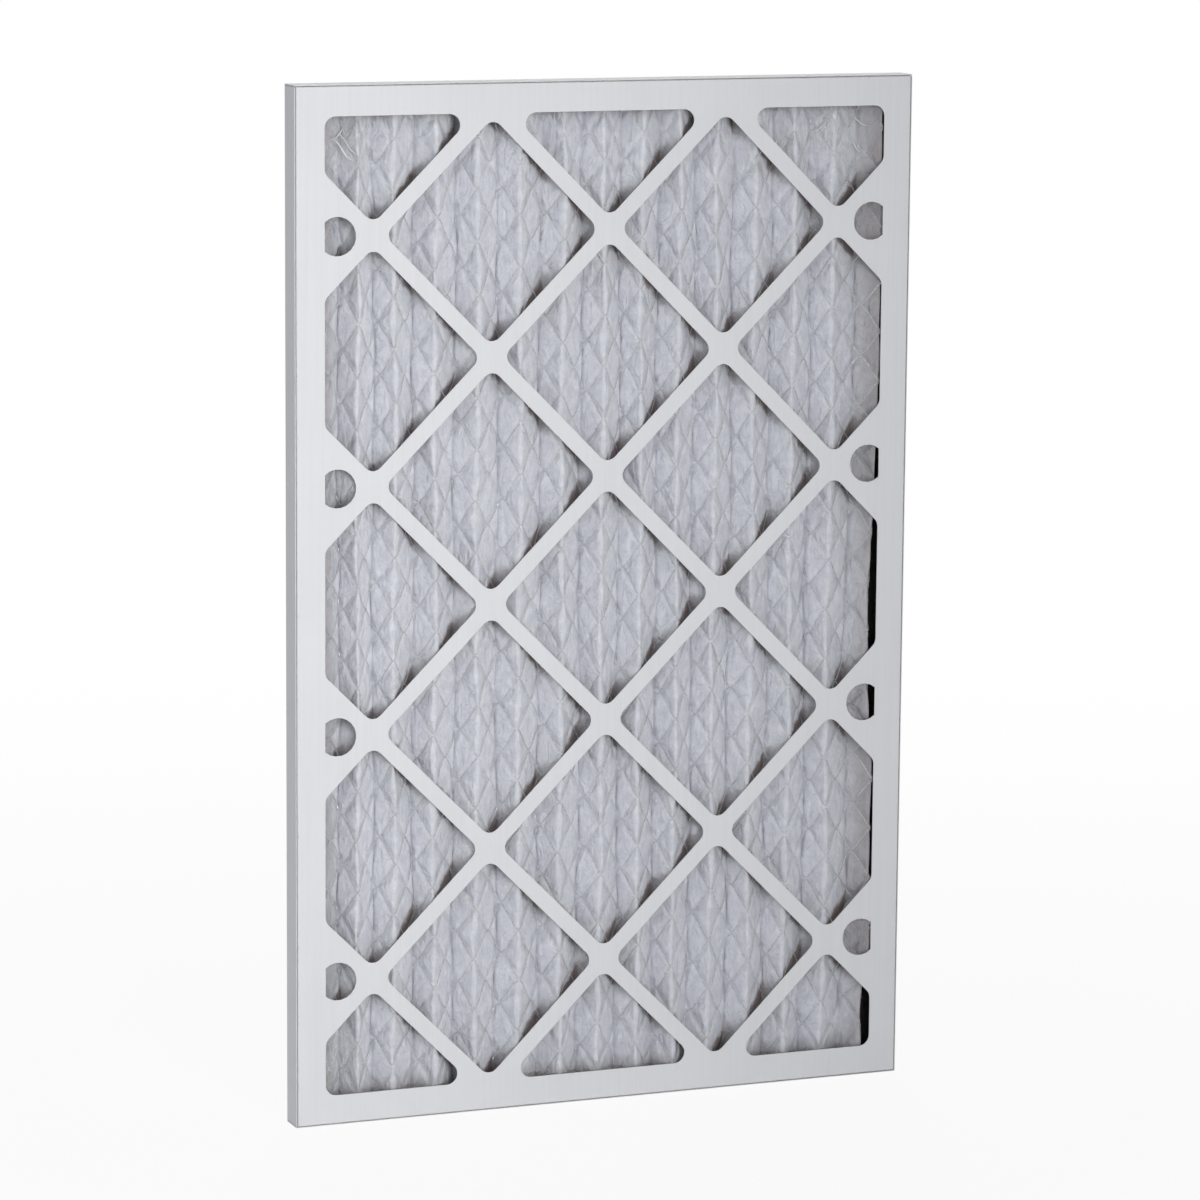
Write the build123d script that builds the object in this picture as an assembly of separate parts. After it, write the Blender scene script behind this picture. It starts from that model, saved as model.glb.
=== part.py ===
from build123d import *

import os
from math import atan2, ceil, cos, degrees, floor, hypot, sin

# Pleated panel air filter, nominal 16 x 25 x 1 in.
# Two die-cut board trays with the same diamond lattice nest face to face, and hold a pleated
# sheet of filter media between them. Expanded metal mesh, bonded to the media's downstream
# side, follows every pleat and keeps it open. Glue beads hold the ends of the pleats.
#
# Frame: X across the width, Y through the depth, Z up along the pleats.
# Origin: the middle of the bottom edge, the face that the panel stands on.
# The downstream face, the one with the mesh behind it, is at -Y.

# ---- driving dimensions (mm) ------------------------------------------------------------

# the panel
panel_width = 393.7          # 15.5 in
panel_height = 622.3         # 24.5 in
panel_depth = 19.05          # 0.75 in

# the board and its folds
board = 0.7                  # thickness of the paperboard
fold_radius = 0.9            # outside radius of a fold
nest_gap = 0.15              # glue line between the nested flanges
flange_reveal = 0.6          # the outer tray's flanges end this far behind the front face
flange_clearance = 0.3       # the inner tray's flanges end this far off the rear board
corner_slit = 0.3            # slit between neighbouring flanges at a corner
tab_length = 22.0            # corner tabs of the inner tray
tab_setback = 1.6            # a tab is this much shorter than its flange, at each side
tab_gap = 0.1                # glue line between a tab and the flange that it laps

# the lattice in both faces
rim = 18.3                   # plain border round the lattice
lattice_pitch = 74.3         # half the diagonal of a diamond, from strut centre to centre
strut_width = 9.6
cut_fillet = 6.6             # corners of the cut-outs
flat_turn = 18.0             # degrees: rounded cuts are made of flats that turn by this much
relief_radius = 11.6         # round holes where the lattice meets the side rims
relief_inset = 26.0          # from a side edge to the centre of those holes
smallest_cut = 40.0          # a cut-out that the rim clips to less than this is left out

# the pleated media
media_thickness = 1.6
pleat_pitch = 25.4
pleat_lean = 3.4             # rear folds sit this far to the right of the middle
fold_flats = 5               # flats round the outside of a fold, whose inside is a sharp crease
last_crest_inset = 24.6      # from the right edge of the panel to the last front fold
end_run = 8.4                # from there, along X, to where the media meets the rear rim
foot_length = 6.0            # of media that lies flat on that rim
pack_end_gap = 3.0           # from the top and bottom flanges to the ends of the pleats
pack_side_gap = 0.3          # from the left flange to the tail of the media
seat_gap = 0.1               # folds stand this far off the board that they are glued to

# the expanded metal mesh
mesh_rows = 31.0             # height of a diamond, along the pleats
mesh_per_pleat = 1.5         # diamonds along the media, from one front fold to the next
strand_width = 0.8           # across a strand, in the plane of the mesh
strand_height = 0.55         # of one strand, measured along Y
mesh_margin = 2.0            # the mesh ends this far short of the media's top and bottom

# the glue beads
bead_width = 7.0             # along Y
bead_chamfer = 1.2

# ---- places that follow from them -------------------------------------------------------

front_face = -panel_depth / 2
rear_face = panel_depth / 2
middle_height = panel_height / 2

inner_width = panel_width - 2 * (board + nest_gap)
inner_height = panel_height - 2 * (board + nest_gap)
clear_half_width = inner_width / 2 - board
clear_half_height = inner_height / 2 - board

media_bottom = middle_height - clear_half_height + pack_end_gap
media_top = middle_height + clear_half_height - pack_end_gap


# ---- the lattice --------------------------------------------------------------------------

def on_face(outline):
    """Stand a sketch drawn in XY up in the XZ plane, with its origin at the panel's centre."""
    return Plane(origin=(0, 0, middle_height), x_dir=(1, 0, 0), z_dir=(0, -1, 0)) * outline


def in_flats(outline):
    """The same outline, with each of its arcs made of short flats. It repeats often."""
    points = []
    for edge in outline.wire().order_edges():
        turn = degrees(edge.length / edge.radius) if edge.geom_type == GeomType.CIRCLE else 0
        flats = max(ceil(turn / flat_turn - 1e-3), 1)
        points.extend([edge @ (i / flats) for i in range(flats)])
    return make_face(Polyline(*points, close=True))


def diamond(across, up):
    """A diamond of the lattice, clipped by the rim, or None where too little is left."""
    side = lattice_pitch * 2 ** 0.5 - strut_width
    reach = side / 2 ** 0.5
    wide = min(abs(across) + reach, panel_width / 2 - rim) - (abs(across) - reach)
    high = min(abs(up) + reach, panel_height / 2 - rim) - (abs(up) - reach)
    if min(wide, high) < smallest_cut:
        return None
    cut = Pos(across, up) * Rot(0, 0, 45) * Rectangle(side, side)
    cut &= Rectangle(panel_width - 2 * rim, panel_height - 2 * rim)
    return in_flats(fillet(cut.vertices(), cut_fillet))


def relief(side, up):
    """A round hole beside a lattice node at a side rim, cut flat along the rim."""
    hole = Pos(side * (panel_width / 2 - relief_inset), up) * Circle(relief_radius)
    return in_flats(hole & Rectangle(panel_width - 2 * rim, panel_height - 2 * rim))


def lattice_cuts():
    """Every cut-out of one face, as a list of sketches drawn about the panel's centre."""
    columns = floor(panel_width / 2 / lattice_pitch) + 1
    rows = floor(panel_height / 2 / lattice_pitch) + 1
    cuts = []
    for i in range(-columns, columns + 1):
        for j in range(-rows, rows + 1):
            if (i + j) % 2 == 0:
                cuts.append(diamond(i * lattice_pitch, j * lattice_pitch))
    # Reliefs take the place of the small triangles outside the outermost column of nodes.
    outer = floor((panel_width / 2 - rim) / lattice_pitch)
    room = panel_width / 2 - relief_inset - relief_radius - outer * lattice_pitch
    for j in range(-rows, rows + 1):
        up = j * lattice_pitch
        beside_node = (outer + j) % 2 == 1 and abs(up) < middle_height - rim - relief_radius
        if beside_node and room > strut_width / 2 and diamond((outer + 1) * lattice_pitch, up) is None:
            cuts.extend([relief(-1, up), relief(1, up)])
    return [cut for cut in cuts if cut is not None]


# ---- the two board trays --------------------------------------------------------------------

def folded_tray(width, height, flange):
    """A lattice face at Y = 0 with four flanges folded back to Y = flange.

    The top and bottom flanges run the full width, the side flanges end at a slit below them.
    """
    outside = Pos(0, flange / 2, middle_height) * Box(width, flange, height)
    outside = fillet(outside.edges().filter_by(lambda e: e.center().Y < 1e-6), fold_radius)
    inside = Box(width - 2 * board, flange, height - 2 * board)
    tray = outside - Pos(0, flange / 2 + board, middle_height) * inside
    for side in (-1, 1):
        for end in (-1, 1):
            place = Pos(side * (width / 2 - board / 2), fold_radius + flange / 2,
                        middle_height + end * (height / 2 - board - corner_slit / 2))
            tray -= place * Box(board, flange, corner_slit)
    for cut in lattice_cuts():
        tray -= extrude(on_face(cut), 2 * board, both=True)
    return tray


def corner_tab(side, end, flange):
    """A tab of the inner tray: the side flange's end, folded in and lapped on the next one."""
    reach = flange - 2 * tab_setback
    level = middle_height + end * (inner_height / 2 - board - tab_gap - board / 2)
    tab = Pos(side * (inner_width / 2 - tab_length / 2), tab_setback + reach / 2, level)
    return tab * Box(tab_length, reach, board)


def front_frame():
    """The inner tray. Its face is the front of the panel."""
    flange = panel_depth - board - flange_clearance
    tray = folded_tray(inner_width, inner_height, flange)
    for side in (-1, 1):
        for end in (-1, 1):
            tray += corner_tab(side, end, flange)
    return Pos(0, front_face, 0) * tray


def rear_frame():
    """The outer tray. Its flanges wrap the inner tray's and end just behind its face."""
    tray = folded_tray(panel_width, panel_height, panel_depth - flange_reveal)
    return Pos(0, rear_face, 0) * mirror(tray, Plane.XZ)


# ---- the pleats ------------------------------------------------------------------------------

# Seen along Z the media's front side is a zigzag, and the mesh lies along it. The mesh's crests
# are sharp and all but touch the front board, the media's are rounded just behind them.
mesh_peak = front_face + board + seat_gap + 2 * strand_height
valley_floor = rear_face - board - seat_gap - media_thickness
wall = clear_half_width - pack_side_gap
last_crest = panel_width / 2 - last_crest_inset

falling_run = pleat_pitch / 2 + pleat_lean      # from a crest to the valley on its right
climbing_run = pleat_pitch / 2 - pleat_lean     # from a valley to the crest on its right
crest_count = floor((last_crest - climbing_run + wall) / pleat_pitch) + 1


def flank_angle(run):
    """Slope of a flank that takes run along X from the mesh's peak to the valley's floor."""
    return atan2(valley_floor - mesh_peak, run)


def crest_x(k):
    """Where the mesh peaks over crest k. Crests are counted from the left."""
    return last_crest - (crest_count - 1 - k) * pleat_pitch


def fall_run(k):
    """From crest k to the valley on its right. The last flank is steeper, to reach the rim."""
    return end_run if k == crest_count - 1 else falling_run


def valley(k):
    """The sharp front crease in the valley on the right of crest k."""
    return crest_x(k) + fall_run(k), valley_floor


def crest(k):
    """The sharp rear crease of crest k, one thickness behind both flanks of the mesh."""
    left = flank_angle(climbing_run)
    right = flank_angle(fall_run(k))
    behind = media_thickness / cos((left + right) / 2)
    tilt = (left - right) / 2
    return crest_x(k) + behind * sin(tilt), mesh_peak + behind * cos(tilt)


def bend(crease, first, last, back):
    """Points round the outside of a fold, one thickness from its crease, in equal flats.

    The angles first and last are from the Y axis, and back is 1 for a bend at the rear.
    """
    angles = [first + (last - first) * i / fold_flats for i in range(fold_flats + 1)]
    return [(crease[0] + media_thickness * sin(a), crease[1] + back * media_thickness * cos(a))
            for a in angles]


def sheet_section():
    """The media's section, from the leftmost valley to the foot that lies on the right rim."""
    climb = flank_angle(climbing_run)
    front = [valley(-1)]
    rear = bend(valley(-1), 0, climb, 1)
    for k in range(crest_count):
        fall = flank_angle(fall_run(k))
        front.extend([*bend(crest(k), -climb, fall, -1), valley(k)])
        rear.append(crest(k))
        rear.extend(bend(valley(k), -fall, climb if k < crest_count - 1 else 0, 1))
    front.append((front[-1][0] + foot_length, front[-1][1]))
    rear.append((rear[-1][0] + foot_length, rear[-1][1]))
    return make_face(Polyline(*front, *reversed(rear), close=True))


def pleated_media():
    """The folded sheet: its section, extruded along the pleats."""
    return Pos(0, 0, media_bottom) * extrude(sheet_section(), media_top - media_bottom, dir=(0, 0, 1))


# ---- the mesh ----------------------------------------------------------------------------------

def mesh_path():
    """The mesh's zigzag as (x, y, s), where s is the length along it from the leftmost valley."""
    path = [(*valley(-1), 0.0)]
    for k in range(crest_count):
        for x, y in [(crest_x(k), mesh_peak), valley(k)]:
            x0, y0, s0 = path[-1]
            path.append((x, y, s0 + hypot(x - x0, y - y0)))
    return path


def along(path, s):
    """The point of the path at length s."""
    for (x0, y0, s0), (x1, y1, s1) in zip(path, path[1:]):
        if s <= s1:
            share = (s - s0) / (s1 - s0)
            return x0 + share * (x1 - x0), y0 + share * (y1 - y0)
    return path[-1][:2]


def mesh_strands(climb, lift):
    """One set of parallel strands, which climb (1) or fall (-1) from left to right.

    A strand is straight in the flat mesh, so on the pleats it climbs evenly with s. Its section
    in any plane across X is the same flat triangle. lift is its height over the media, in Y.
    """
    path = mesh_path()
    length = path[-1][2]
    last_bonds = path[-2][2]
    mesh_run = (path[3][2] - path[1][2]) / mesh_per_pleat
    rate = climb * mesh_rows / mesh_run
    half = strand_width / cos(atan2(mesh_rows, mesh_run)) / 2
    low = media_bottom + mesh_margin + half
    high = media_top - mesh_margin - half
    count = floor((panel_height + abs(rate) * length) / mesh_rows) + 1
    strands = []
    for row in range(-count, count + 1):
        # A row of bonds lies on the last crest, one of them at the panel's mid height.
        at_left = middle_height + row * mesh_rows - rate * last_bonds
        first, last = sorted([(low - at_left) / rate, (high - at_left) / rate])
        first = max(first, 0.0)
        last = min(last, length)
        if last - first < mesh_run / 2:
            continue
        bends = [s for _, _, s in path if first + strand_width < s < last - strand_width]
        sections = []
        for s in [first, *bends, last]:
            x, y = along(path, s)
            z = at_left + rate * s
            foot = y - lift
            sections.append(Wire.make_polygon(
                [(x, foot, z - half), (x, foot, z + half), (x, foot - strand_height, z)]))
        strands.append(Solid.make_loft(sections, ruled=True))
    return strands


def support_mesh():
    """The expanded metal: falling strands, bonded on top of climbing ones."""
    return Compound(children=mesh_strands(1, 0) + mesh_strands(-1, strand_height))


# ---- the glue beads ------------------------------------------------------------------------------

def glue_bead(end):
    """A bead along a top or bottom flange, between the corner tabs, up to the pleats' ends."""
    length = inner_width - 2 * tab_length - 2 * pack_side_gap
    level = middle_height + end * (clear_half_height - pack_end_gap / 2)
    bead = Pos(0, 0, level) * Box(length, bead_width, pack_end_gap)
    face_on_pleats = bead.faces().sort_by(Axis.Z)[0 if end > 0 else -1]
    long_edges = face_on_pleats.edges().filter_by(Axis.X)
    return chamfer(long_edges, bead_chamfer)


# ---- one STEP file per piece ---------------------------------------------------------------------

pieces = {
    "front_frame": front_frame(),
    "rear_frame": rear_frame(),
    "pleated_media": pleated_media(),
    "support_mesh": support_mesh(),
    "top_glue_bead": glue_bead(1),
    "bottom_glue_bead": glue_bead(-1),
}

os.makedirs("parts", exist_ok=True)
for name, shape in pieces.items():
    export_step(shape, f"parts/{name}.step")
    box = shape.bounding_box()
    print(f"{name}: {box.size.X:.1f} x {box.size.Y:.1f} x {box.size.Z:.1f} mm")
print(f"front folds {crest_count}")
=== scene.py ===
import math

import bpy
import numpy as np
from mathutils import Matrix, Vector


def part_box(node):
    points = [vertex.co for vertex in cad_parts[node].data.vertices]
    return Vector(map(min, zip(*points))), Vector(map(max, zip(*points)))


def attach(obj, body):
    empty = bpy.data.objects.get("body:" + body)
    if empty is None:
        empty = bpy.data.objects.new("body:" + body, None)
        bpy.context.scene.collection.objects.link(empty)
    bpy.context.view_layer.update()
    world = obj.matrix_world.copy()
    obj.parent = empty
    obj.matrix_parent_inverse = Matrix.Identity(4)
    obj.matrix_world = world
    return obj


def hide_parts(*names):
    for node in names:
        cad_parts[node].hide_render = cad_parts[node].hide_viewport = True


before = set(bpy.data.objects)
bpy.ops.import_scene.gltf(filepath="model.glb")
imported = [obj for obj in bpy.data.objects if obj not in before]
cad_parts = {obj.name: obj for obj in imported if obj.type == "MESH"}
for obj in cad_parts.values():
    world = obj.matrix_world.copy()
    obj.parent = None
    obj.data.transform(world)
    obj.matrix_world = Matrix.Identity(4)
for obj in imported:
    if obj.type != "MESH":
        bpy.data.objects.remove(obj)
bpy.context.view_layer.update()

# %% [markdown]
# # A pleated panel air filter
#
# Two shallow trays of die-cut white board are nested and glued, and hold a sheet of filter
# media folded into pleats. A thin expanded metal mesh is bonded to one side of the media, and
# shows through the diamond lattice of the front tray.
#
# The CAD solids are already loaded, in metres, with X across the panel, Y through its depth and
# Z up. The two trays are right as they are and only get a better finish. The media and the mesh
# are made again here, because a real sheet is soft: its folds wander, and its wires are uneven.

MM = 0.001

# %% [markdown]
# ## Sizes
#
# Every place below follows from these few sizes of the real panel, in millimetres. They are the
# sizes that the solids were made from, so the new pieces fit between the trays. The limits of
# the media and the mesh are read from the solids themselves.

# %% Sizes of the panel
panel_width = 393.7
panel_height = 622.3
panel_depth = 19.05
middle = panel_height / 2
board = 0.7
glue_gap = 0.1               # between the rear board and the folds that touch it
lattice_pitch = 74.3         # half the diagonal of a diamond of the lattice

crests = 15
pleat_pitch = 25.4
pleat_lean = 3.4             # how far a crest stands left of the middle between its valleys
last_crest = panel_width / 2 - 24.6
last_fall = 8.4              # width of the flank that falls from the last crest
foot_length = 6.0            # the sheet's last end, glued flat to the rear board
media_thickness = 1.6

mesh_rows = 31.0             # height of a diamond of the mesh
mesh_per_pleat = 1.5         # diamonds along the sheet in one pleat
strand_depth = 0.55

media_lo, media_hi = (np.array(corner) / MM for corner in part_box("pleated_media"))
mesh_lo, mesh_hi = (np.array(corner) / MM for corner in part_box("support_mesh"))
print("media from", media_lo.round(1), "to", media_hi.round(1))

# %% [markdown]
# ## From numbers to surfaces
#
# A piece is worked out as one array of points, rows by columns, and a face is laid between each
# four neighbours. This is how a ribbon and a folded sheet can both be made with the same few
# lines. Blender gets the arrays whole, which is fast.

# %% A surface from a grid of points
def quads(rows, columns):
    """Corner numbers of the faces between neighbouring points, where each row is a closed ring.

    Point c of row r has the number r * columns + c. Its face goes on to the next point of the
    ring, and from both to the row above.
    """
    r = np.arange(rows - 1)[:, None] * columns
    c = np.arange(columns)[None, :]
    d = (c + 1) % columns
    return np.stack([r + c, r + d, r + columns + d, r + columns + c], axis=-1).reshape(-1, 4)


def surface(name, points, faces, uv=None, smooth=True):
    """An object from an array of points (rows, columns, 3) in mm, and faces of four corners."""
    places = points.reshape(-1, 3) * MM
    mesh = bpy.data.meshes.new(name)
    mesh.vertices.add(len(places))
    mesh.vertices.foreach_set("co", places.astype(np.float32).ravel())
    mesh.loops.add(faces.size)
    mesh.loops.foreach_set("vertex_index", faces.ravel().astype(np.int32))
    mesh.polygons.add(len(faces))
    mesh.polygons.foreach_set("loop_start", np.arange(0, faces.size, 4, dtype=np.int32))
    mesh.polygons.foreach_set("use_smooth", np.full(len(faces), smooth))
    if uv is not None:
        layer = mesh.uv_layers.new(name="lay")
        layer.data.foreach_set("uv", uv.reshape(-1, 2)[faces.ravel()].astype(np.float32).ravel())
    mesh.update(calc_edges=True)
    mesh.validate()
    piece = bpy.data.objects.new(name, mesh)
    bpy.context.scene.collection.objects.link(piece)
    print(f"{name}: {len(faces)} faces")
    return piece


# %% [markdown]
# ## How the folds wander
#
# On a real panel the pleats are never quite even. Each crest stands a millimetre or two off its
# place, and leans a little from bottom to top. A sheet could be bent by hand or by a simulation,
# but a few slow waves across the panel and up it give the same look and are the same each time.
# The sheet, its mesh and the threads of glue all go through one function, so they stay together.

# %% Waves, hills and steps
def wave(place, length, start=0.0):
    """A sine wave from -1 to 1, with one period in each length, shifted by start radians."""
    return np.sin(2 * np.pi * place / length + start)


def hill(value, top, width):
    """A bell curve of height 1 at top: e to the minus square of the distance in widths."""
    return np.exp(-((value - top) / width) ** 2)


def step(value, low, high):
    """Rises smoothly from 0 at low to 1 at high: 3t² - 2t³ of the share t of the way."""
    t = np.clip((value - low) / (high - low), 0, 1)
    return t ** 2 * (3 - 2 * t)


# %% The wander of the folds
# Heights up the last fold, and how far to the right it stands there.
last_fold = (
    (52, 0.6), (76, 7.4), (203, 7.4), (240, 2.9), (270, 0.6), (300, 0.8),
    (345, 3.7), (385, 6.3), (415, 8.0), (500, 8.0), (575, 7.0),
)
rounding = (-6, -2, 2, 6)    # heights over which the last fold's bends are averaged
held_left, held_right = 14, 9  # widths beside the sheet's two ends that the glue holds
still_y = media_hi[1] - 2    # behind this depth nothing moves to the rear


def fold_number(x):
    """Which fold a place x belongs to: its distance from the leftmost crest, in pleats."""
    return (x - last_crest) / pleat_pitch + crests - 1


def wander(points):
    """Shift points sideways and in depth.

    Sideways the shift is a sum: waves over the fold's number k, waves up the panel that start
    at another angle on each fold, and the snaking of the last fold. In depth a crest stands
    back by 0 to 0.7 mm, and a point behind it by its share of the way to the crest.
    """
    x, y, z = points[..., 0], points[..., 1], points[..., 2]
    k = fold_number(x)
    across = 0.5 + 1.7 * wave(k - 4.6, 12.2) + 1.2 * wave(k - 4.7, 7.1) + 2.6 * hill(k, 0.6, 0.5)
    up = 0.8 * wave(z, 270, 2.3 * k) + 0.5 * wave(z, 88, 4.1 * k) + 0.3 * wave(z, 43, 5.3 * k)
    # The last fold reaches the tray's side in the lower third and again above the middle.
    snake = np.mean([np.interp(z + shift, *zip(*last_fold)) for shift in rounding], axis=0)
    askew = snake * hill(k, crests - 1, 0.55)
    # The two outer ends of the sheet are glued to the trays and stay where they are.
    from_left = (x - media_lo[0]) / held_left
    from_right = (media_hi[0] - foot_length - x) / held_right
    held = np.clip(from_left, 0, 1) * np.clip(from_right, 0, 1)
    depth = 0.35 + 0.35 * wave(z, 190, 1.9 * k)
    crest_share = np.clip((still_y - y) / (still_y - mesh_lo[1]), 0, 1)
    moved = points.copy()
    moved[..., 0] = x + held * (across + up + askew)
    moved[..., 1] = y + depth * crest_share
    return moved


print("the last fold leans right by up to", max(lean for _, lean in last_fold), "mm")

# %% [markdown]
# ## The folded sheet
#
# Looked at from above, the sheet's front side is a zigzag: a slope back to the right, a sharp
# crease against the rear board, and a steeper slope forward again. Its rear side runs one
# thickness behind. It could be a row of tilted plates, but then each fold would be a hard edge.
# Here one closed profile with rounded folds is carried straight up the panel, and each row of
# points is then moved by the wander.

# %% The zigzag
valley_y = panel_depth / 2 - board - glue_gap - media_thickness
peak_y = mesh_lo[1] + 2 * strand_depth
falling_run = pleat_pitch / 2 + pleat_lean
climbing_run = pleat_pitch / 2 - pleat_lean
crest_x = last_crest - (crests - 1 - np.arange(crests)) * pleat_pitch
fall_run = np.where(np.arange(crests) == crests - 1, last_fall, falling_run)
valley_x = crest_x + fall_run
first_valley = crest_x[0] - climbing_run

zigzag = np.empty((2 * crests + 1, 2))
zigzag[0] = first_valley, valley_y
zigzag[1::2] = np.stack([crest_x, np.full(crests, peak_y)], axis=1)
zigzag[2::2] = np.stack([valley_x, np.full(crests, valley_y)], axis=1)
# Length along the sheet from its left end to each crease.
along = np.concatenate([[0], np.cumsum(np.hypot(*np.diff(zigzag, axis=0).T))])
slope = np.arctan2(np.abs(np.diff(zigzag[:, 1])), np.diff(zigzag[:, 0]))
# Length of one diamond of the mesh along the sheet.
mesh_run = (along[3] - along[1]) / mesh_per_pleat
print("crests at", crest_x.round(1))
print("slopes, degrees:", np.degrees(slope[1:3]).round(1))
print("length of the sheet along its folds, mm:", along[-1].round())

# %% Arcs and lines
def arc(centre, first, last, radius, back, steps):
    """Points round a fold: x is the radius times the sine of an angle, y times its cosine.

    The angles are taken from the Y axis. back is 1 at a valley and -1 at a crest.
    """
    a = np.linspace(first, last, steps)
    return np.stack([centre[0] + radius * np.sin(a), centre[1] + back * radius * np.cos(a)], axis=1)


def line(a, b, steps):
    """Points at even shares of the way from a to b, without the two ends."""
    share = np.linspace(0, 1, steps + 2)[1:-1, None]
    return a + share * (b - a)


# %% The profile of the sheet
def sheet_profile(inner=0.35, steps=6, on_slope=7):
    """The front side and the rear side of the sheet's section, each from left to right.

    Both sides of a fold are arcs about one centre, so the sheet keeps its thickness. inner is
    the radius on the inside of the fold. The centre lies behind a crest by the outer radius
    over the cosine of half the fold's angle, on the line that halves it.
    """
    climb = slope[0]
    outer = inner + media_thickness
    centre = np.array([first_valley, valley_y - inner])
    front = [arc(centre, 0, climb, inner, 1, steps)]
    rear = [arc(centre, 0, climb, outer, 1, steps)]
    for k in range(crests):
        fall = slope[2 * k + 1]
        behind = outer / math.cos((climb + fall) / 2)
        tilt = (climb - fall) / 2
        top = np.array([crest_x[k] + behind * math.sin(tilt), peak_y + behind * math.cos(tilt)])
        low = np.array([valley_x[k], valley_y - inner])
        last = climb if k < crests - 1 else 0
        for side, at_crest, at_valley in ((front, outer, inner), (rear, inner, outer)):
            crest = arc(top, -climb, fall, at_crest, -1, steps + 1)
            valley = arc(low, -fall, last, at_valley, 1, steps)
            climbing = line(side[-1][-1], crest[0], on_slope)
            dropping = line(crest[-1], valley[0], on_slope)
            side.extend([climbing, crest, dropping, valley])
    foot = np.array([foot_length, 0.0])
    for side in (front, rear):
        end = side[-1][-1]
        side.extend([line(end, end + foot, 2), (end + foot)[None]])
    return np.concatenate(front), np.concatenate(rear)


front_side, rear_side = sheet_profile()
front_count = len(front_side)
profile = np.concatenate([front_side, rear_side[::-1]])
print("profile points:", len(profile), "lowest y:", profile[:, 1].min().round(2))

# %% [markdown]
# Between its wires the soft sheet swells forward, like a quilt between its seams. The wires run
# where u + v or u - v is a whole number, so the swelling is the product of two sines, which is 0
# on each wire and 1 in the middle of each diamond. It fades at the top and the bottom, where the
# sheet is stiff with glue. Here u and v are the sheet's lay, in diamonds of the mesh: u along the
# folds from the last crest, and v up from the panel's middle.

# %% Rows of points and their lay
sheet_rows = 118
heights = np.linspace(media_lo[2], media_hi[2], sheet_rows)
sheet_points = np.empty((sheet_rows, len(profile), 3))
sheet_points[..., :2] = profile
sheet_points[..., 2] = heights[:, None]

lay = np.empty(sheet_points.shape[:2] + (2,))
lay[..., 0] = (np.interp(profile[:, 0], zigzag[:, 0], along) - along[-2]) / mesh_run
lay[..., 1] = (heights[:, None] - middle) / mesh_rows
print("diamonds along the sheet and up it:", np.ptp(lay, axis=(0, 1)).round(1))

# %% Swelling between the wires
swell = 0.55                 # height of the swelling in the middle of a diamond
swell_held = 0.7             # share of it that the glue takes away at the top
top_glue = 535, 585          # heights between which the glue begins, at the top
bottom_glue = 25, 70         # and at the bottom


def stiff(z):
    """Share of stiffening by glue at height z: 1 at the top, 0.6 at the bottom, 0 between."""
    return step(z, *top_glue) + 0.6 * (1 - step(z, *bottom_glue))


u, v = lay[:, :front_count, 0], lay[:, :front_count, 1]
swelling = swell * np.abs(np.sin(np.pi * (u + v)) * np.sin(np.pi * (u - v)))
swelling *= 1 - swell_held * stiff(heights)[:, None]
run = np.gradient(front_side, axis=0)
outward = np.stack([run[:, 1], -run[:, 0]], axis=1) / np.linalg.norm(run, axis=1)[:, None]
sheet_points[:, :front_count, :2] += swelling[..., None] * outward
sheet_points = wander(sheet_points)
print("the sheet swells by up to", swelling.max().round(2), "mm")

# %% The sheet
# The bottom and the top are closed by strips of faces from the front side to the rear side.
strip = np.arange(front_count - 1)
partner = 2 * front_count - 1 - strip
bottom_cap = np.stack([strip, partner, partner - 1, strip + 1], axis=1)
top_cap = bottom_cap[:, ::-1] + (sheet_rows - 1) * len(profile)
sheet_faces = np.concatenate([quads(sheet_rows, len(profile)), bottom_cap, top_cap])
sheet = surface("pleated_sheet", sheet_points, sheet_faces, uv=lay)

# The finish has to know the front side, which the wires touch, from the rear side.
front_share = np.zeros(sheet_points.shape[:2], dtype=np.float32)
front_share[:, :front_count] = 1
share_layer = sheet.data.attributes.new("front_share", "FLOAT", "POINT")
share_layer.data.foreach_set("value", front_share.ravel())
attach(sheet, "root")
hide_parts("pleated_media")

# %% [markdown]
# ## The expanded metal
#
# Expanded metal is slit and stretched from one thin sheet. Each strand runs in a zigzag, and
# its turns are joined to the turns of the strands above and below it. Flat, the openings are
# 31 mm high diamonds. A picture of a mesh would do from far away, but these wires are seen at
# their edges, where they stand on the crests. So every strand is a thin ribbon with a four-sided
# section, carried along the folded path, and it bends over each crest with the sheet.

# %% The run of a strand
flat_turn = 0.93             # the share of a slope after which the strand turns
half_bond = 0.2              # half the distance between two joined strands' middle lines


def triangle_wave(t):
    """A wave of straight slopes from -1 to 1: 1 less 4 times the distance to a whole number."""
    return 1 - 4 * np.abs(t - np.floor(t + 0.5))


def strand_path(row, s):
    """How high a strand stands at length s along the folds.

    Its wave is 0.6 of straight slopes with flattened turns and 0.4 of a cosine, since the strands
    were stretched, not bent to a shape. A bond lies on the last crest at the panel's mid height.
    """
    t = (s - along[-2]) / mesh_run + 0.5 * (row % 2)
    slopes = np.clip(triangle_wave(t), -flat_turn, flat_turn) / flat_turn
    turn = 0.6 * slopes + 0.4 * np.cos(2 * np.pi * t)
    return middle + (row - 0.5) * mesh_rows / 2 + (mesh_rows / 4 - half_bond) * turn


def rounded_zigzag(s, radius):
    """The folded path with its creases eased: the zigzag averaged over a short length.

    The weights fall off to both sides as a cosine does.
    """
    shifts = np.linspace(-radius, radius, 7)
    weights = np.cos(shifts / radius * 1.3)
    at = s[:, None] + shifts
    x = (np.interp(at, along, zigzag[:, 0]) * weights).sum(1) / weights.sum()
    y = (np.interp(at, along, zigzag[:, 1]) * weights).sum(1) / weights.sum()
    return x, y


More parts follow.
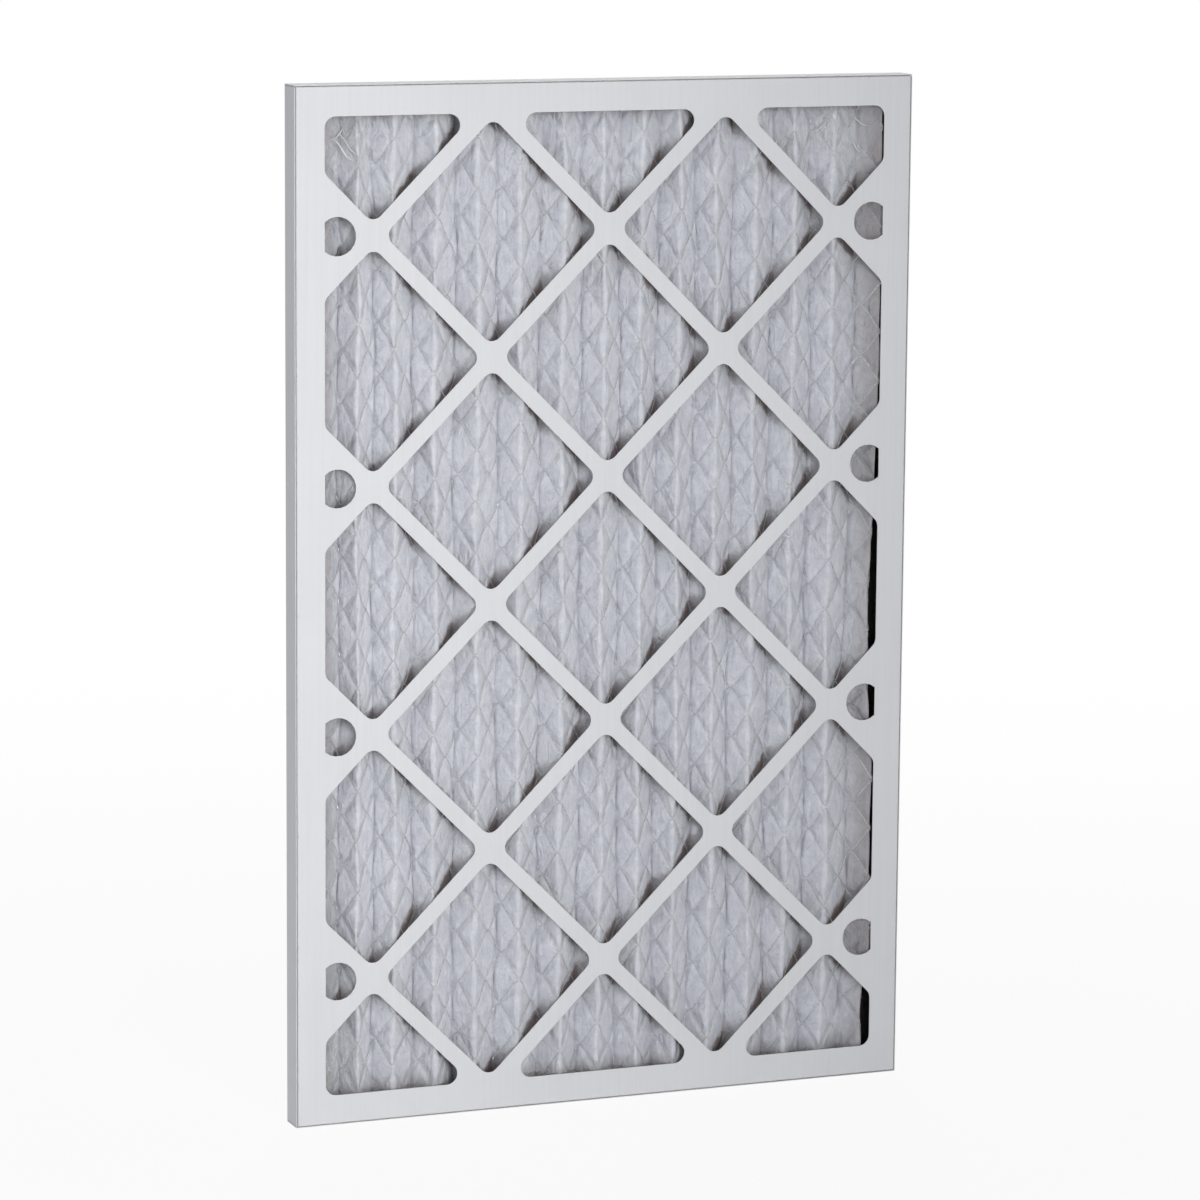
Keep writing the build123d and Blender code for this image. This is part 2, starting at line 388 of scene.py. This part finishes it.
path_gap, path_step, crease_radius = 0.5, 1.25, 1.2
s = np.arange(path_gap, along[-1] - path_gap, path_step)
path_x, path_y = rounded_zigzag(s, crease_radius)
lean = np.arctan2(np.gradient(path_y), np.gradient(path_x))
normal = np.stack([np.sin(lean), -np.cos(lean)], axis=1)
print("points along a strand:", len(s))

# %% Strands of the mesh
# A strand's section: each corner's side, and how far it stands out of the folded path.
section = (-1, -0.15), (1, -0.15), (1, 0.28), (-1, 0.28)
half_width = 0.27
sunk_in_glue = 0.34
trim = 1                     # the mesh ends this far inside its limits, top and bottom
rows = np.arange(-20, 21)
rng = np.random.default_rng(11)
phases = rng.uniform(0, 2 * np.pi, (len(rows), 3))


def strand(row, phase):
    """Points of one strand (steps, 4 corners, 3), and its height at each step.

    Faint sine waves shift its height, its depth in the soft fibres and its width. A corner lies
    across the strand's run in the plane of the sheet, and along the path's normal in depth.
    """
    height = strand_path(row, s)
    height += 0.4 * np.sin(s / 23 + phase[0]) + 0.25 * np.sin(s / 9.1 + phase[1])
    sunk = 0.16 * np.sin(s / 17 + phase[2]) + 0.12 * np.sin(s / 5.3 + phase[0])
    sunk -= sunk_in_glue * stiff(height)
    steep = np.gradient(height) / np.gradient(s)
    stretch = np.hypot(1, steep)
    wide = half_width + 0.05 * np.sin(s / 31 + phase[2])
    corners = []
    for across, height_out in section:
        out = height_out + sunk
        shift = across * wide / stretch
        back_along = -shift * steep
        x = path_x + back_along * np.cos(lean) + out * normal[:, 0]
        y = path_y + back_along * np.sin(lean) + out * normal[:, 1]
        corners.append(np.stack([x, y, height + shift], axis=1))
    return np.stack(corners, axis=1), height


strand_points = []
for row, phase in zip(rows, phases):
    points, height = strand(row, phase)
    # The top and the bottom of the sheet cut the strand, so it may be in several pieces.
    kept = np.flatnonzero((height > mesh_lo[2] + trim) & (height < mesh_hi[2] - trim))
    pieces = np.split(points[kept], np.flatnonzero(np.diff(kept) > 1) + 1)
    strand_points.extend(piece for piece in pieces if len(piece) > 1)
print("pieces of strand:", len(strand_points))

# %% The mesh
def ribbon_faces(ribbons):
    """Faces of ribbons with four-sided sections: the faces round each, and one at each end."""
    faces, first = [], 0
    for ribbon in ribbons:
        end = 4 * len(ribbon)
        ends = np.array([[3, 2, 1, 0], [end - 4, end - 3, end - 2, end - 1]])
        faces.append(np.concatenate([quads(len(ribbon), 4), ends]) + first)
        first += end
    return np.concatenate(faces)


strands = wander(np.concatenate(strand_points))
mesh_piece = surface("expanded_mesh", strands, ribbon_faces(strand_points), smooth=False)
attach(mesh_piece, "root")
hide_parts("support_mesh")

# %% [markdown]
# ## Threads of glue
#
# When the panel was closed, the nozzle drew a few threads of clear hot melt over the folds, most
# of them in the corners. They could be drawn as curves, but the ribbons of the mesh serve again.
# Each is short and tapered. It lies on the crests and is drawn straight across the hollows, so
# its depth is the nearer one of the sheet and a straight line between its ends.

# %% One thread of glue
in_front_of_sheet = 0.5
flattened = 0.6
front = np.array([0.0, -1.0, 0.0])


def glue_thread(start, run, thick):
    """A ribbon from start (x, z) over run (x, z), with a slight wave of its own.

    Its radius is thick times a share that rises from 0.12 at the ends to 1 in the middle, by
    the sine of half a turn to the power 0.7.
    """
    t = np.linspace(0, 1, 15)
    x = start[0] + run[0] * t
    z = start[1] + run[1] * t + 0.05 * np.hypot(*run) * np.sin(2.5 * np.pi * t)
    on_sheet = np.interp(x, zigzag[:, 0], zigzag[:, 1])
    straight = on_sheet[0] + (on_sheet[-1] - on_sheet[0]) * t
    y = np.minimum(on_sheet, straight) - in_front_of_sheet
    middle_line = np.stack([x, y, z], axis=1)
    radius = thick * (0.12 + 0.88 * np.sin(np.pi * t) ** 0.7)
    across = np.cross(np.gradient(middle_line, axis=0), front)
    across /= np.linalg.norm(across, axis=1)[:, None]
    sides = [across, -flattened * front, -across, flattened * front]
    return np.stack([middle_line + radius[:, None] * side for side in sides], axis=1)


# %% Threads of glue
# Where the glue was strung: x, z, and how far it reaches.
glue_places = (
    (148, 589, 30), (124, 574, 18), (97, 569, 10),
    (-160, 588, 26), (-164, 38, 26), (-2, 306, 9),
)
lowest, highest = (-174, 24), (164, 596)

# Two long threads cross the upper left corner side by side. The others lie as they fell.
corner_starts = (-170.0, 593.5), (-173.0, 590.0)
threads = [glue_thread(start, (12.5, -14.5), 0.55) for start in corner_starts]
rng = np.random.default_rng(5)
for x0, z0, reach in glue_places:
    for _ in range(1 + reach // 5):
        place = np.array([x0, z0]) + rng.uniform(-0.6, 0.6, 2) * reach
        run = rng.uniform(4, 11, 2) * rng.choice([-1, 1], 2)
        place = np.clip(place, lowest, highest)
        threads.append(glue_thread(place, run, rng.uniform(0.25, 0.5)))
print("threads of glue:", len(threads))
glue_threads = surface("glue_threads", wander(np.concatenate(threads)), ribbon_faces(threads))
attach(glue_threads, "root")

# %% [markdown]
# ## Finishes
#
# The board, the media, the wire and the glue are all made of the same kinds of nodes: noise for
# fibres and specks, a colour between two tones, and a little bump. A picture could be wrapped
# round them, but nodes stay sharp at any distance. These helpers keep each finish short. Every
# pattern reads Object coordinates or the sheet's own lay, so it stays on the piece as it moves.

# %% Small helpers for materials
range_sockets = "From Min", "From Max", "To Min", "To Max"


class Finish:
    """A material with a Principled shader, and short calls that add one node each."""

    def __init__(self, name, **values):
        self.material = bpy.data.materials.new(name)
        self.material.use_nodes = True
        self.nodes = self.material.node_tree.nodes
        self.links = self.material.node_tree.links
        self.shader = self.nodes["Principled BSDF"]
        self.place = self.nodes.new("ShaderNodeTexCoord").outputs["Object"]
        for socket, value in values.items():
            self.shader.inputs[socket.replace("_", " ")].default_value = value

    def set(self, socket, value):
        """Link a node's output, or write a plain number or colour."""
        if isinstance(value, bpy.types.NodeSocket):
            self.links.new(value, socket)
        else:
            socket.default_value = value

    def stretch(self, scale):
        """Object coordinates times a scale for each axis, to draw a pattern out."""
        node = self.nodes.new("ShaderNodeMapping")
        self.set(node.inputs["Vector"], self.place)
        node.inputs["Scale"].default_value = scale
        return node.outputs["Vector"]

    def noise(self, scale, detail=4.0, rough=0.55, where=None, warp=0.0):
        """Cloudy noise, 0 to 1. scale is in waves per metre."""
        node = self.nodes.new("ShaderNodeTexNoise")
        self.set(node.inputs["Vector"], where or self.place)
        node.inputs["Scale"].default_value = scale
        node.inputs["Detail"].default_value = detail
        node.inputs["Roughness"].default_value = rough
        node.inputs["Distortion"].default_value = warp
        return node.outputs["Fac"]

    def math(self, kind, a, b=0.0):
        """One sum or comparison of a and b. A kind that needs only a leaves b out."""
        node = self.nodes.new("ShaderNodeMath")
        node.operation = kind
        self.set(node.inputs[0], a)
        self.set(node.inputs[1], b)
        return node.outputs[0]

    def span(self, value, low, high, to_low=0.0, to_high=1.0):
        """Map a range of one value smoothly to another range, with nothing past its ends."""
        node = self.nodes.new("ShaderNodeMapRange")
        node.interpolation_type = "SMOOTHSTEP"
        for name, number in zip(range_sockets, (low, high, to_low, to_high)):
            node.inputs[name].default_value = number
        self.set(node.inputs["Value"], value)
        return node.outputs["Result"]

    def mix(self, share, a, b):
        """A colour between a and b."""
        node = self.nodes.new("ShaderNodeMix")
        node.data_type = "RGBA"
        self.set(node.inputs["Factor"], share)
        self.set(node.inputs["A"], a)
        self.set(node.inputs["B"], b)
        return node.outputs["Result"]

    def axes(self):
        """The place on the piece as three numbers, in metres."""
        node = self.nodes.new("ShaderNodeSeparateXYZ")
        self.set(node.inputs[0], self.place)
        return node.outputs

    def bump(self, height, depth, before=None):
        """Raise the surface by height, times depth in metres."""
        node = self.nodes.new("ShaderNodeBump")
        node.inputs["Distance"].default_value = depth
        self.set(node.inputs["Height"], height)
        if before is not None:
            self.set(node.inputs["Normal"], before)
        self.set(self.shader.inputs["Normal"], node.outputs["Normal"])
        return node.outputs["Normal"]

    def put(self, socket, value):
        """Link or write a value to one of the shader's own sockets."""
        self.set(self.shader.inputs[socket], value)


def grey(level, tint=0.0):
    """A near neutral colour, with a little more blue for a positive tint."""
    return (level, level * (1 + 0.2 * tint), level * (1 + tint), 1.0)


# %% [markdown]
# ## The board
#
# The trays are cut from carton board: smooth white clay coat outside, brown fibre inside. The
# coat shows faint streaks from the rollers, fine specks, and hairline cracks along the folds,
# where the stiff coat breaks. Each side could be picked by hand and given a material of its own.
# It is simpler to tell them by the place on the tray: the outer 0.3 mm of it is coat, then comes
# the pale cut edge, and the inner side is brown fibre.

# %% Board finish
skin = 0.3 * MM
core = 0.62 * MM
crack_grey = (0.40, 0.395, 0.39, 1)
brown_tones = (0.15, 0.118, 0.095, 1), (0.24, 0.195, 0.16, 1)
cut_tones = (0.46, 0.45, 0.44, 1), (0.60, 0.59, 0.57, 1)


def board_finish(name, face_y, outward, half_width, half_height):
    """Coated board. face_y is the plane of the tray's face, outward is -1 for the front tray.

    behind is the depth under the face, and edge the depth under the nearest flange. The smaller
    of the two is the depth in the board, which tells coat, cut edge and inside apart.
    """
    f = Finish(name, Specular_IOR_Level=0.16)
    x, y, z = f.axes()
    behind = f.math("MULTIPLY", f.math("SUBTRACT", y, face_y * MM), -outward)
    on_face = f.math("LESS_THAN", behind, skin)
    from_side = f.math("SUBTRACT", half_width * MM, f.math("ABSOLUTE", x))
    from_middle = f.math("ABSOLUTE", f.math("SUBTRACT", z, middle * MM))
    from_end = f.math("SUBTRACT", half_height * MM, from_middle)
    edge = f.math("MINIMUM", from_side, from_end)
    on_flange = f.math("LESS_THAN", edge, skin)
    coated = f.math("MAXIMUM", on_face, on_flange)

    streaks = f.noise(1.0, 3, 0.6, f.stretch((420, 420, 7)))
    clouds = f.noise(26, 3, 0.5)
    specks = f.span(f.noise(1900, 2, 0.6), 0.66, 0.74)
    tone = f.math("ADD", f.math("MULTIPLY", streaks, 0.6), f.math("MULTIPLY", clouds, 0.4))
    white = f.mix(f.span(tone, 0.3, 0.7), grey(0.765, 0.035), grey(0.80, 0.03))
    white = f.mix(f.math("MULTIPLY", specks, 0.16), white, grey(0.42))
    # Hairline cracks, only within a millimetre of a fold.
    near_fold = f.span(f.math("MAXIMUM", edge, behind), 0.5 * MM, 1.1 * MM, 1.0, 0.0)
    cracks = f.span(f.noise(1.0, 5, 0.7, f.stretch((900, 900, 260))), 0.55, 0.66)
    cracked = f.math("MULTIPLY", f.math("MULTIPLY", near_fold, cracks), 0.45)
    white = f.mix(cracked, white, crack_grey)

    fibres = f.noise(1.0, 6, 0.7, f.stretch((900, 900, 240)), 0.4)
    brown = f.mix(f.span(fibres, 0.3, 0.7), *brown_tones)
    inside = f.math("GREATER_THAN", f.math("MINIMUM", edge, behind), core)
    cut = f.mix(f.span(fibres, 0.3, 0.7), *cut_tones)
    f.put("Base Color", f.mix(coated, f.mix(inside, cut, brown), white))
    f.put("Roughness", f.math("ADD", 0.52, f.math("MULTIPLY", f.noise(300, 3), 0.16)))
    pits = f.noise(1500, 3, 0.6)
    first = f.bump(f.math("ADD", pits, f.math("MULTIPLY", fibres, 0.5)), 0.02 * MM)
    f.bump(f.noise(1.0, 2, 0.5, f.stretch((60, 60, 18))), 0.25 * MM, first)
    print(f"{name}: {len(f.nodes)} nodes")
    return f.material


# %% Paint the trays
def paint(node, material):
    """Give a CAD piece one finish on all of its slots."""
    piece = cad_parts[node]
    if not piece.material_slots:
        piece.data.materials.append(material)
    for slot in piece.material_slots:
        slot.material = material


# The front tray is nested in the rear one, so it is a little smaller.
front_half_width, front_half_height = 196.0, 310.3
face = panel_depth / 2
paint("front_frame", board_finish("front_board", -face, -1, front_half_width, front_half_height))
paint("rear_frame", board_finish("rear_board", face, 1, panel_width / 2, panel_height / 2))

# %% [markdown]
# ## The media
#
# The media is a soft white nonwoven of fine plastic fibres. Close up it is a tangle of threads
# in every direction, with thicker and thinner clouds. Real fibres would be far too many, so
# two stretched noises stand for them, one drawn out up the panel and one across it. Light goes
# some way into the media and comes out again, which keeps the valleys from going dark.

# %% Fibres of the media
fibre_tones = (0.63, 0.645, 0.69, 1), (0.785, 0.795, 0.83, 1)
f = Finish("filter_media", Specular_IOR_Level=0.3)
x, y, z = f.axes()
lay_node = f.nodes.new("ShaderNodeUVMap")
lay_node.uv_map = "lay"
split = f.nodes.new("ShaderNodeSeparateXYZ")
f.links.new(lay_node.outputs[0], split.inputs[0])
folds, rows_up = split.outputs[0], split.outputs[1]
side_node = f.nodes.new("ShaderNodeAttribute")
side_node.attribute_name = "front_share"
in_front = side_node.outputs["Fac"]
clouds = f.noise(150, 4, 0.6)
upright = f.noise(1.0, 5, 0.7, f.stretch((1500, 1500, 500)), 1.5)
across = f.noise(1.0, 5, 0.7, f.stretch((500, 500, 1700)), 1.5)
weave = f.math("ADD", f.math("MULTIPLY", upright, 0.5), f.math("MULTIPLY", across, 0.5))
tone = f.math("ADD", f.math("MULTIPLY", clouds, 0.45), f.math("MULTIPLY", weave, 0.55))
fibre = f.mix(f.span(tone, 0.36, 0.64), *fibre_tones)

# %% [markdown]
# The struts are glued to the folds. Under them, and down in the valleys beside them, the media's
# colour is darkened to a brownish grey, as painted shade of the struts. A strut's middle line is
# where x plus or minus the height is an odd number of lattice pitches, so a pingpong wave gives the
# distance to it. The painted shade is full on the front slopes that fall to the right. Elsewhere
# it grows with the depth, up to a half.

# %% Painted shade under the struts
# The brownish grey of the painted shade under the struts and along the tray's sides.
painted_shade_brown = (0.18, 0.13, 0.12, 1)
up_panel = f.math("SUBTRACT", z, middle * MM)
pitch = lattice_pitch * MM
rising = f.math("PINGPONG", f.math("ADD", f.math("ADD", x, up_panel), pitch), pitch)
falling = f.math("PINGPONG", f.math("ADD", f.math("SUBTRACT", x, up_panel), pitch), pitch)
strut = f.math("MULTIPLY", f.math("MINIMUM", rising, falling), 1 / math.sqrt(2))
ragged = f.math("ADD", strut, f.math("MULTIPLY", f.math("SUBTRACT", f.noise(130, 4), 0.5), 9 * MM))
under = f.span(ragged, 3.6 * MM, 7.4 * MM, 1.0, 0.0)
# The share of the way through a pleat. The 30 diamonds, 20 whole pleats, keep it above 0.
pleat_share = f.math("FRACT", f.math("DIVIDE", f.math("ADD", folds, 30.0), mesh_per_pleat))
past_crest = f.span(pleat_share, 0.02, 0.06)
before_valley = f.span(pleat_share, 0.50, 0.60, 1.0, 0.0)
falling_side = f.math("MULTIPLY", f.math("MULTIPLY", past_crest, before_valley), in_front)
deep = f.math("MAXIMUM", falling_side, f.math("MULTIPLY", f.span(y, -3 * MM, 6 * MM), 0.5))
# Painted shade: the media is darkened where the struts would shade it, more with depth.
painted_shade = f.math("MULTIPLY", under, deep)

# %% Painted shade at the four sides, and down the valleys
# Grey of the painted shade down the valleys.
valley_shade_grey = (0.46, 0.455, 0.48, 1)
# Painted shade near the tray's four sides and ends, where the rim hides the media.
near_side = f.math("ADD", f.math("ABSOLUTE", x), f.math("MULTIPLY", f.noise(60, 3), 8 * MM))
painted_shade = f.math("MAXIMUM", painted_shade, f.math("MULTIPLY", f.span(near_side, 166 * MM, 182 * MM), 0.55))
near_end = f.math("ADD", f.math("ABSOLUTE", up_panel), f.math("MULTIPLY", f.noise(90, 4), 10 * MM))
painted_shade = f.math("MAXIMUM", painted_shade, f.span(near_end, 290 * MM, 302 * MM, 0.0, 0.45))
# Painted shade along the bottom of each valley, in patches.
valley_share = falling_run / math.cos(slope[1]) / (along[3] - along[1])
off_valley = f.math("ABSOLUTE", f.math("SUBTRACT", pleat_share, valley_share))
patches = f.span(f.noise(45, 3), 0.35, 0.65, 0.15, 0.6)
valley_shade = f.math("MULTIPLY", f.span(off_valley, 0.0, 0.09, 1.0, 0.0), patches)
fibre = f.mix(valley_shade, fibre, valley_shade_grey)
# The painted shade of the struts, the sides and the ends goes on the media's colour.
fibre = f.mix(f.math("MULTIPLY", painted_shade, 0.85), fibre, painted_shade_brown)
print("the valley lies at", round(valley_share, 3), "of a pleat")

# %% [markdown]
# The last flank and its foot lie deep in the pocket beside the tray's side, and are painted near
# black there as painted shade. The lay that was stored with the sheet counts from the last crest,
# so it says where that painted shade begins. The lay also gives the distance to the nearest wires,
# for a bump that makes the swelling sharper beside them.

# %% Painted shade on the sheet's end, and the puff between the wires
pocket_shade_black = (0.035, 0.030, 0.030, 1)
# Painted shade: the last flank and the foot are made near black.
pocket_shade = f.span(f.math("ADD", folds, f.math("MULTIPLY", f.noise(140, 3), 0.04)), 0.07, 0.16)
fibre = f.mix(pocket_shade, fibre, pocket_shade_black)
off_one = f.math("PINGPONG", f.math("ADD", rows_up, folds), 0.5)
off_other = f.math("PINGPONG", f.math("SUBTRACT", rows_up, folds), 0.5)
puff = f.math("MULTIPLY", f.span(f.math("MINIMUM", off_one, off_other), 0.0, 0.2), in_front)

# %% [markdown]
# Round its threads the clear hot melt also soaked into the fibres, in ragged patches. It makes
# them shine, a little lighter than before. Each patch fades with the distance from its middle.

# %% Smears of clear glue
glue_white = (0.90, 0.90, 0.90, 1)
on_face = f.nodes.new("ShaderNodeCombineXYZ")
f.links.new(x, on_face.inputs[0])
f.links.new(z, on_face.inputs[2])
smears = 0.0
for at_x, at_z, reach in glue_places:
    gap = f.nodes.new("ShaderNodeVectorMath")
    gap.operation = "DISTANCE"
    f.links.new(on_face.outputs[0], gap.inputs[0])
    gap.inputs[1].default_value = (at_x * MM, 0, at_z * MM)
    patch = f.span(gap.outputs["Value"], 0.3 * reach * MM, reach * MM, 1.0, 0.0)
    smears = f.math("MAXIMUM", smears, patch)
strings = f.noise(1.0, 4, 0.6, f.stretch((210, 210, 90)), 2.2)
smear = f.math("MULTIPLY", smears, f.span(strings, 0.5, 0.6))
fibre = f.mix(f.math("MULTIPLY", smear, 0.45), fibre, glue_white)

# %% [markdown]
# Four bumps lie on each other: the fibres, dents with sharp little creases, the puff between the
# wires, and the lumps of the glue. Each is worked out on the normal of the one before.

# %% Put the media's finish together
f.put("Base Color", fibre)
f.put("Roughness", f.math("SUBTRACT", 0.85, f.math("MULTIPLY", smear, 0.62)))
f.shader.inputs["Subsurface Weight"].default_value = 0.55
f.shader.inputs["Subsurface Radius"].default_value = (1.0, 1.0, 1.1)
f.shader.inputs["Subsurface Scale"].default_value = 2.6 * MM
first = f.bump(weave, 0.12 * MM)
dents = f.noise(1.0, 3, 0.55, f.stretch((170, 170, 60)), 0.8)
# The creases run where a second noise passes its middle value.
ridges = f.noise(1.0, 2, 0.5, f.stretch((95, 95, 70)), 1.2)
creases = f.span(f.math("ABSOLUTE", f.math("SUBTRACT", ridges, 0.5)), 0.0, 0.06)
second = f.bump(f.math("ADD", f.math("MULTIPLY", creases, 0.16), dents), 1.5 * MM, first)
third = f.bump(puff, 0.8 * MM, second)
f.bump(f.math("MULTIPLY", smear, f.noise(500, 3)), 0.8 * MM, third)
sheet.data.materials.append(f.material)
print("filter_media:", len(f.nodes), "nodes")

# %% [markdown]
# ## Wire and glue
#
# The mesh is zinc-coated steel: dull grey with lighter spangles. The coat has gone matt, so it is
# less metallic than clean zinc. The glue beads are a pale hot melt, glossy, with a lumpy surface
# where it was drawn off the nozzle. The threads are so thin that they stayed clear of dust, and
# they catch the light.

# %% Wire finish
zinc_tones = (0.52, 0.525, 0.54, 1), (0.70, 0.705, 0.72, 1)
f = Finish("galvanised_mesh", Metallic=0.4, Roughness=0.42)
spangle = f.noise(700, 3, 0.6)
f.put("Base Color", f.mix(f.span(spangle, 0.35, 0.65), *zinc_tones))
f.bump(spangle, 0.03 * MM)
mesh_piece.data.materials.append(f.material)
print("galvanised_mesh:", len(f.nodes), "nodes")

# %% Glue finishes
bead_tones = (0.66, 0.65, 0.60, 1), (0.78, 0.77, 0.73, 1)
f = Finish("glue", Roughness=0.28, Coat_Weight=0.3)
lumps = f.noise(220, 3, 0.5)
f.put("Base Color", f.mix(lumps, *bead_tones))
f.bump(lumps, 0.6 * MM)
paint("top_glue_bead", f.material)
paint("bottom_glue_bead", f.material)

thread_tones = (0.84, 0.84, 0.83, 1), (0.92, 0.92, 0.91, 1)
f = Finish("glue_threads", Roughness=0.2, Coat_Weight=0.5)
f.put("Base Color", f.mix(f.noise(260, 3), *thread_tones))
f.bump(f.noise(900, 2), 0.1 * MM)
glue_threads.data.materials.append(f.material)
print("glue on the beads and", len(threads), "threads")

# %% [markdown]
# ## The stage
#
# A plain pale floor under soft studio light. The camera sees the floor nearly white, and all
# that is left on it is the panel's soft shadow. A brighter lamp would make the floor white too,
# but would burn out the panel. So the floor is lit as it is, and only the rays that show it, seen
# by the camera, in a shiny surface or through a clear one, find a white glow mixed in.

# %% Helpers for the stage
def both(tree, kind, a, b):
    """One sum or comparison of two outputs in a node tree."""
    node = tree.nodes.new("ShaderNodeMath")
    node.operation = kind
    tree.links.new(a, node.inputs[0])
    tree.links.new(b, node.inputs[1])
    return node.outputs[0]


def background_rays(tree):
    """An output that is 1 on rays seen by the camera, in a reflection or through glass."""
    path = tree.nodes.new("ShaderNodeLightPath")
    seen = both(tree, "MAXIMUM", path.outputs["Is Camera Ray"], path.outputs["Is Glossy Ray"])
    return both(tree, "MAXIMUM", seen, path.outputs["Is Transmission Ray"])


def ramp(tree, value, numbers):
    """Map a value in a straight line: numbers are from low, from high, to low and to high."""
    node = tree.nodes.new("ShaderNodeMapRange")
    for name, number in zip(range_sockets, numbers):
        node.inputs[name].default_value = number
    tree.links.new(value, node.inputs["Value"])
    return node.outputs["Result"]


def plain(tree, kind, colour):
    """A shader of one colour."""
    node = tree.nodes.new(kind)
    node.inputs["Color"].default_value = colour
    return node


def finish_tree(tree, output, share, usual, shown):
    """Mix the usual shader with the one that is shown, by a share, and send it to the output."""
    mix = tree.nodes.new("ShaderNodeMixShader")
    out = tree.nodes.new(output)
    for value, socket in zip((share, usual.outputs[0], shown.outputs[0]), mix.inputs):
        tree.links.new(value, socket)
    tree.links.new(mix.outputs[0], out.inputs[0])


# %% The floor
far = 12
pale_grey, pure_white = (0.82, 0.82, 0.82, 1), (1, 1, 1, 1)
corners = [(-far, -far, 0), (far, -far, 0), (far, far, 0), (-far, far, 0)]
floor_mesh = bpy.data.meshes.new("floor")
floor_mesh.from_pydata(corners, [], [(0, 1, 2, 3)])
floor = bpy.data.objects.new("floor", floor_mesh)
bpy.context.scene.collection.objects.link(floor)

material = bpy.data.materials.new("floor")
material.use_nodes = True
tree = material.node_tree
tree.nodes.clear()
pale = plain(tree, "ShaderNodeBsdfDiffuse", pale_grey)
glow = plain(tree, "ShaderNodeEmission", pure_white)
place = tree.nodes.new("ShaderNodeTexCoord")
away = tree.nodes.new("ShaderNodeVectorMath")
away.operation = "LENGTH"
tree.links.new(place.outputs["Object"], away.inputs[0])
# Beside the panel the glow is 0.92 of the floor, and from 1.6 m away it is all of it.
glow_share = ramp(tree, away.outputs["Value"], (0.35, 1.6, 0.92, 1.0))
glow_seen = both(tree, "MULTIPLY", background_rays(tree), glow_share)
finish_tree(tree, "ShaderNodeOutputMaterial", glow_seen, pale, glow)
floor_mesh.materials.append(material)
print("floor:", 2 * far, "m wide")

# %% The world
world = bpy.data.worlds.new("studio")
bpy.context.scene.world = world
world.use_nodes = True
tree = world.node_tree
tree.nodes.clear()
fill = plain(tree, "ShaderNodeBackground", (0.97, 0.98, 1, 1))
white = plain(tree, "ShaderNodeBackground", pure_white)
sky = tree.nodes.new("ShaderNodeTexCoord")
direction = tree.nodes.new("ShaderNodeSeparateXYZ")
tree.links.new(sky.outputs["Generated"], direction.inputs[0])
# The fill is dimmer from above, as under a dark ceiling, and stronger from the left.
ceiling = ramp(tree, direction.outputs[2], (0.1, 0.9, 0.45, 0.24))
sideways = ramp(tree, direction.outputs[0], (-1.0, 1.0, 1.75, 0.7))
tree.links.new(both(tree, "MULTIPLY", ceiling, sideways), fill.inputs["Strength"])
finish_tree(tree, "ShaderNodeOutputWorld", background_rays(tree), fill, white)
print("world:", len(tree.nodes), "nodes")

# %% [markdown]
# ## The lamps
#
# A tall soft box in front of the panel lights its face at a plain level. A wide one behind it
# keeps the rear side from going dark. A sun lamp would be simpler, but its shadows are hard.

# %% Lights
def softbox(name, place, target, size, watts, grid=180):
    """An area light of size (width, height) in metres that faces a target point.

    grid narrows its beam, in degrees, as a grid of cells does in front of a real soft box.
    """
    lamp = bpy.data.lights.new(name, "AREA")
    lamp.shape = "RECTANGLE"
    lamp.size, lamp.size_y = size
    lamp.energy = watts
    lamp.spread = math.radians(grid)
    piece = bpy.data.objects.new(name, lamp)
    piece.location = place
    piece.rotation_euler = (Vector(target) - Vector(place)).to_track_quat("-Z", "Y").to_euler()
    bpy.context.scene.collection.objects.link(piece)
    print(f"{name}: {watts} W")


# The front light is aimed past the left edge, so the face falls off gently to the right.
softbox("front_light", (-0.14, -1.9, 0.42), (-0.40, 0, 0.25), (0.5, 1.5), 4.2, 63)
softbox("rear_light", (0.8, 2.2, 0.75), (0, 0, 0.3), (1.2, 1.2), 24)

# %% [markdown]
# ## The camera
#
# The panel is seen from three metres, a little from the left and from above, through a long
# lens, so its edges stay nearly parallel. The camera's three axes are worked out from its
# angles: back points away from the panel, and right and up are turned by the small roll.

# %% Camera
azimuth, elevation, roll = (math.radians(a) for a in (-21.641, 9.584, 0.446))
camera = bpy.data.objects.new("camera", bpy.data.cameras.new("camera"))
camera.data.sensor_width = 36
camera.data.lens = 152.38
camera.location = (-1.1161, -2.8115, 0.8192)
level = math.cos(elevation)
back = Vector((math.sin(azimuth) * level, -math.cos(azimuth) * level, math.sin(elevation)))
right = Vector((math.cos(azimuth), math.sin(azimuth), 0))
up = back.cross(right)
turned_right = math.cos(roll) * right + math.sin(roll) * up
turned_up = back.cross(turned_right)
camera.rotation_mode = "QUATERNION"
camera.rotation_quaternion = Matrix((turned_right, turned_up, back)).transposed().to_quaternion()
bpy.context.scene.collection.objects.link(camera)
bpy.context.scene.camera = camera
bpy.context.scene.view_settings.view_transform = "Standard"
print("camera:", round(camera.location.length, 2), "m from the panel's foot")
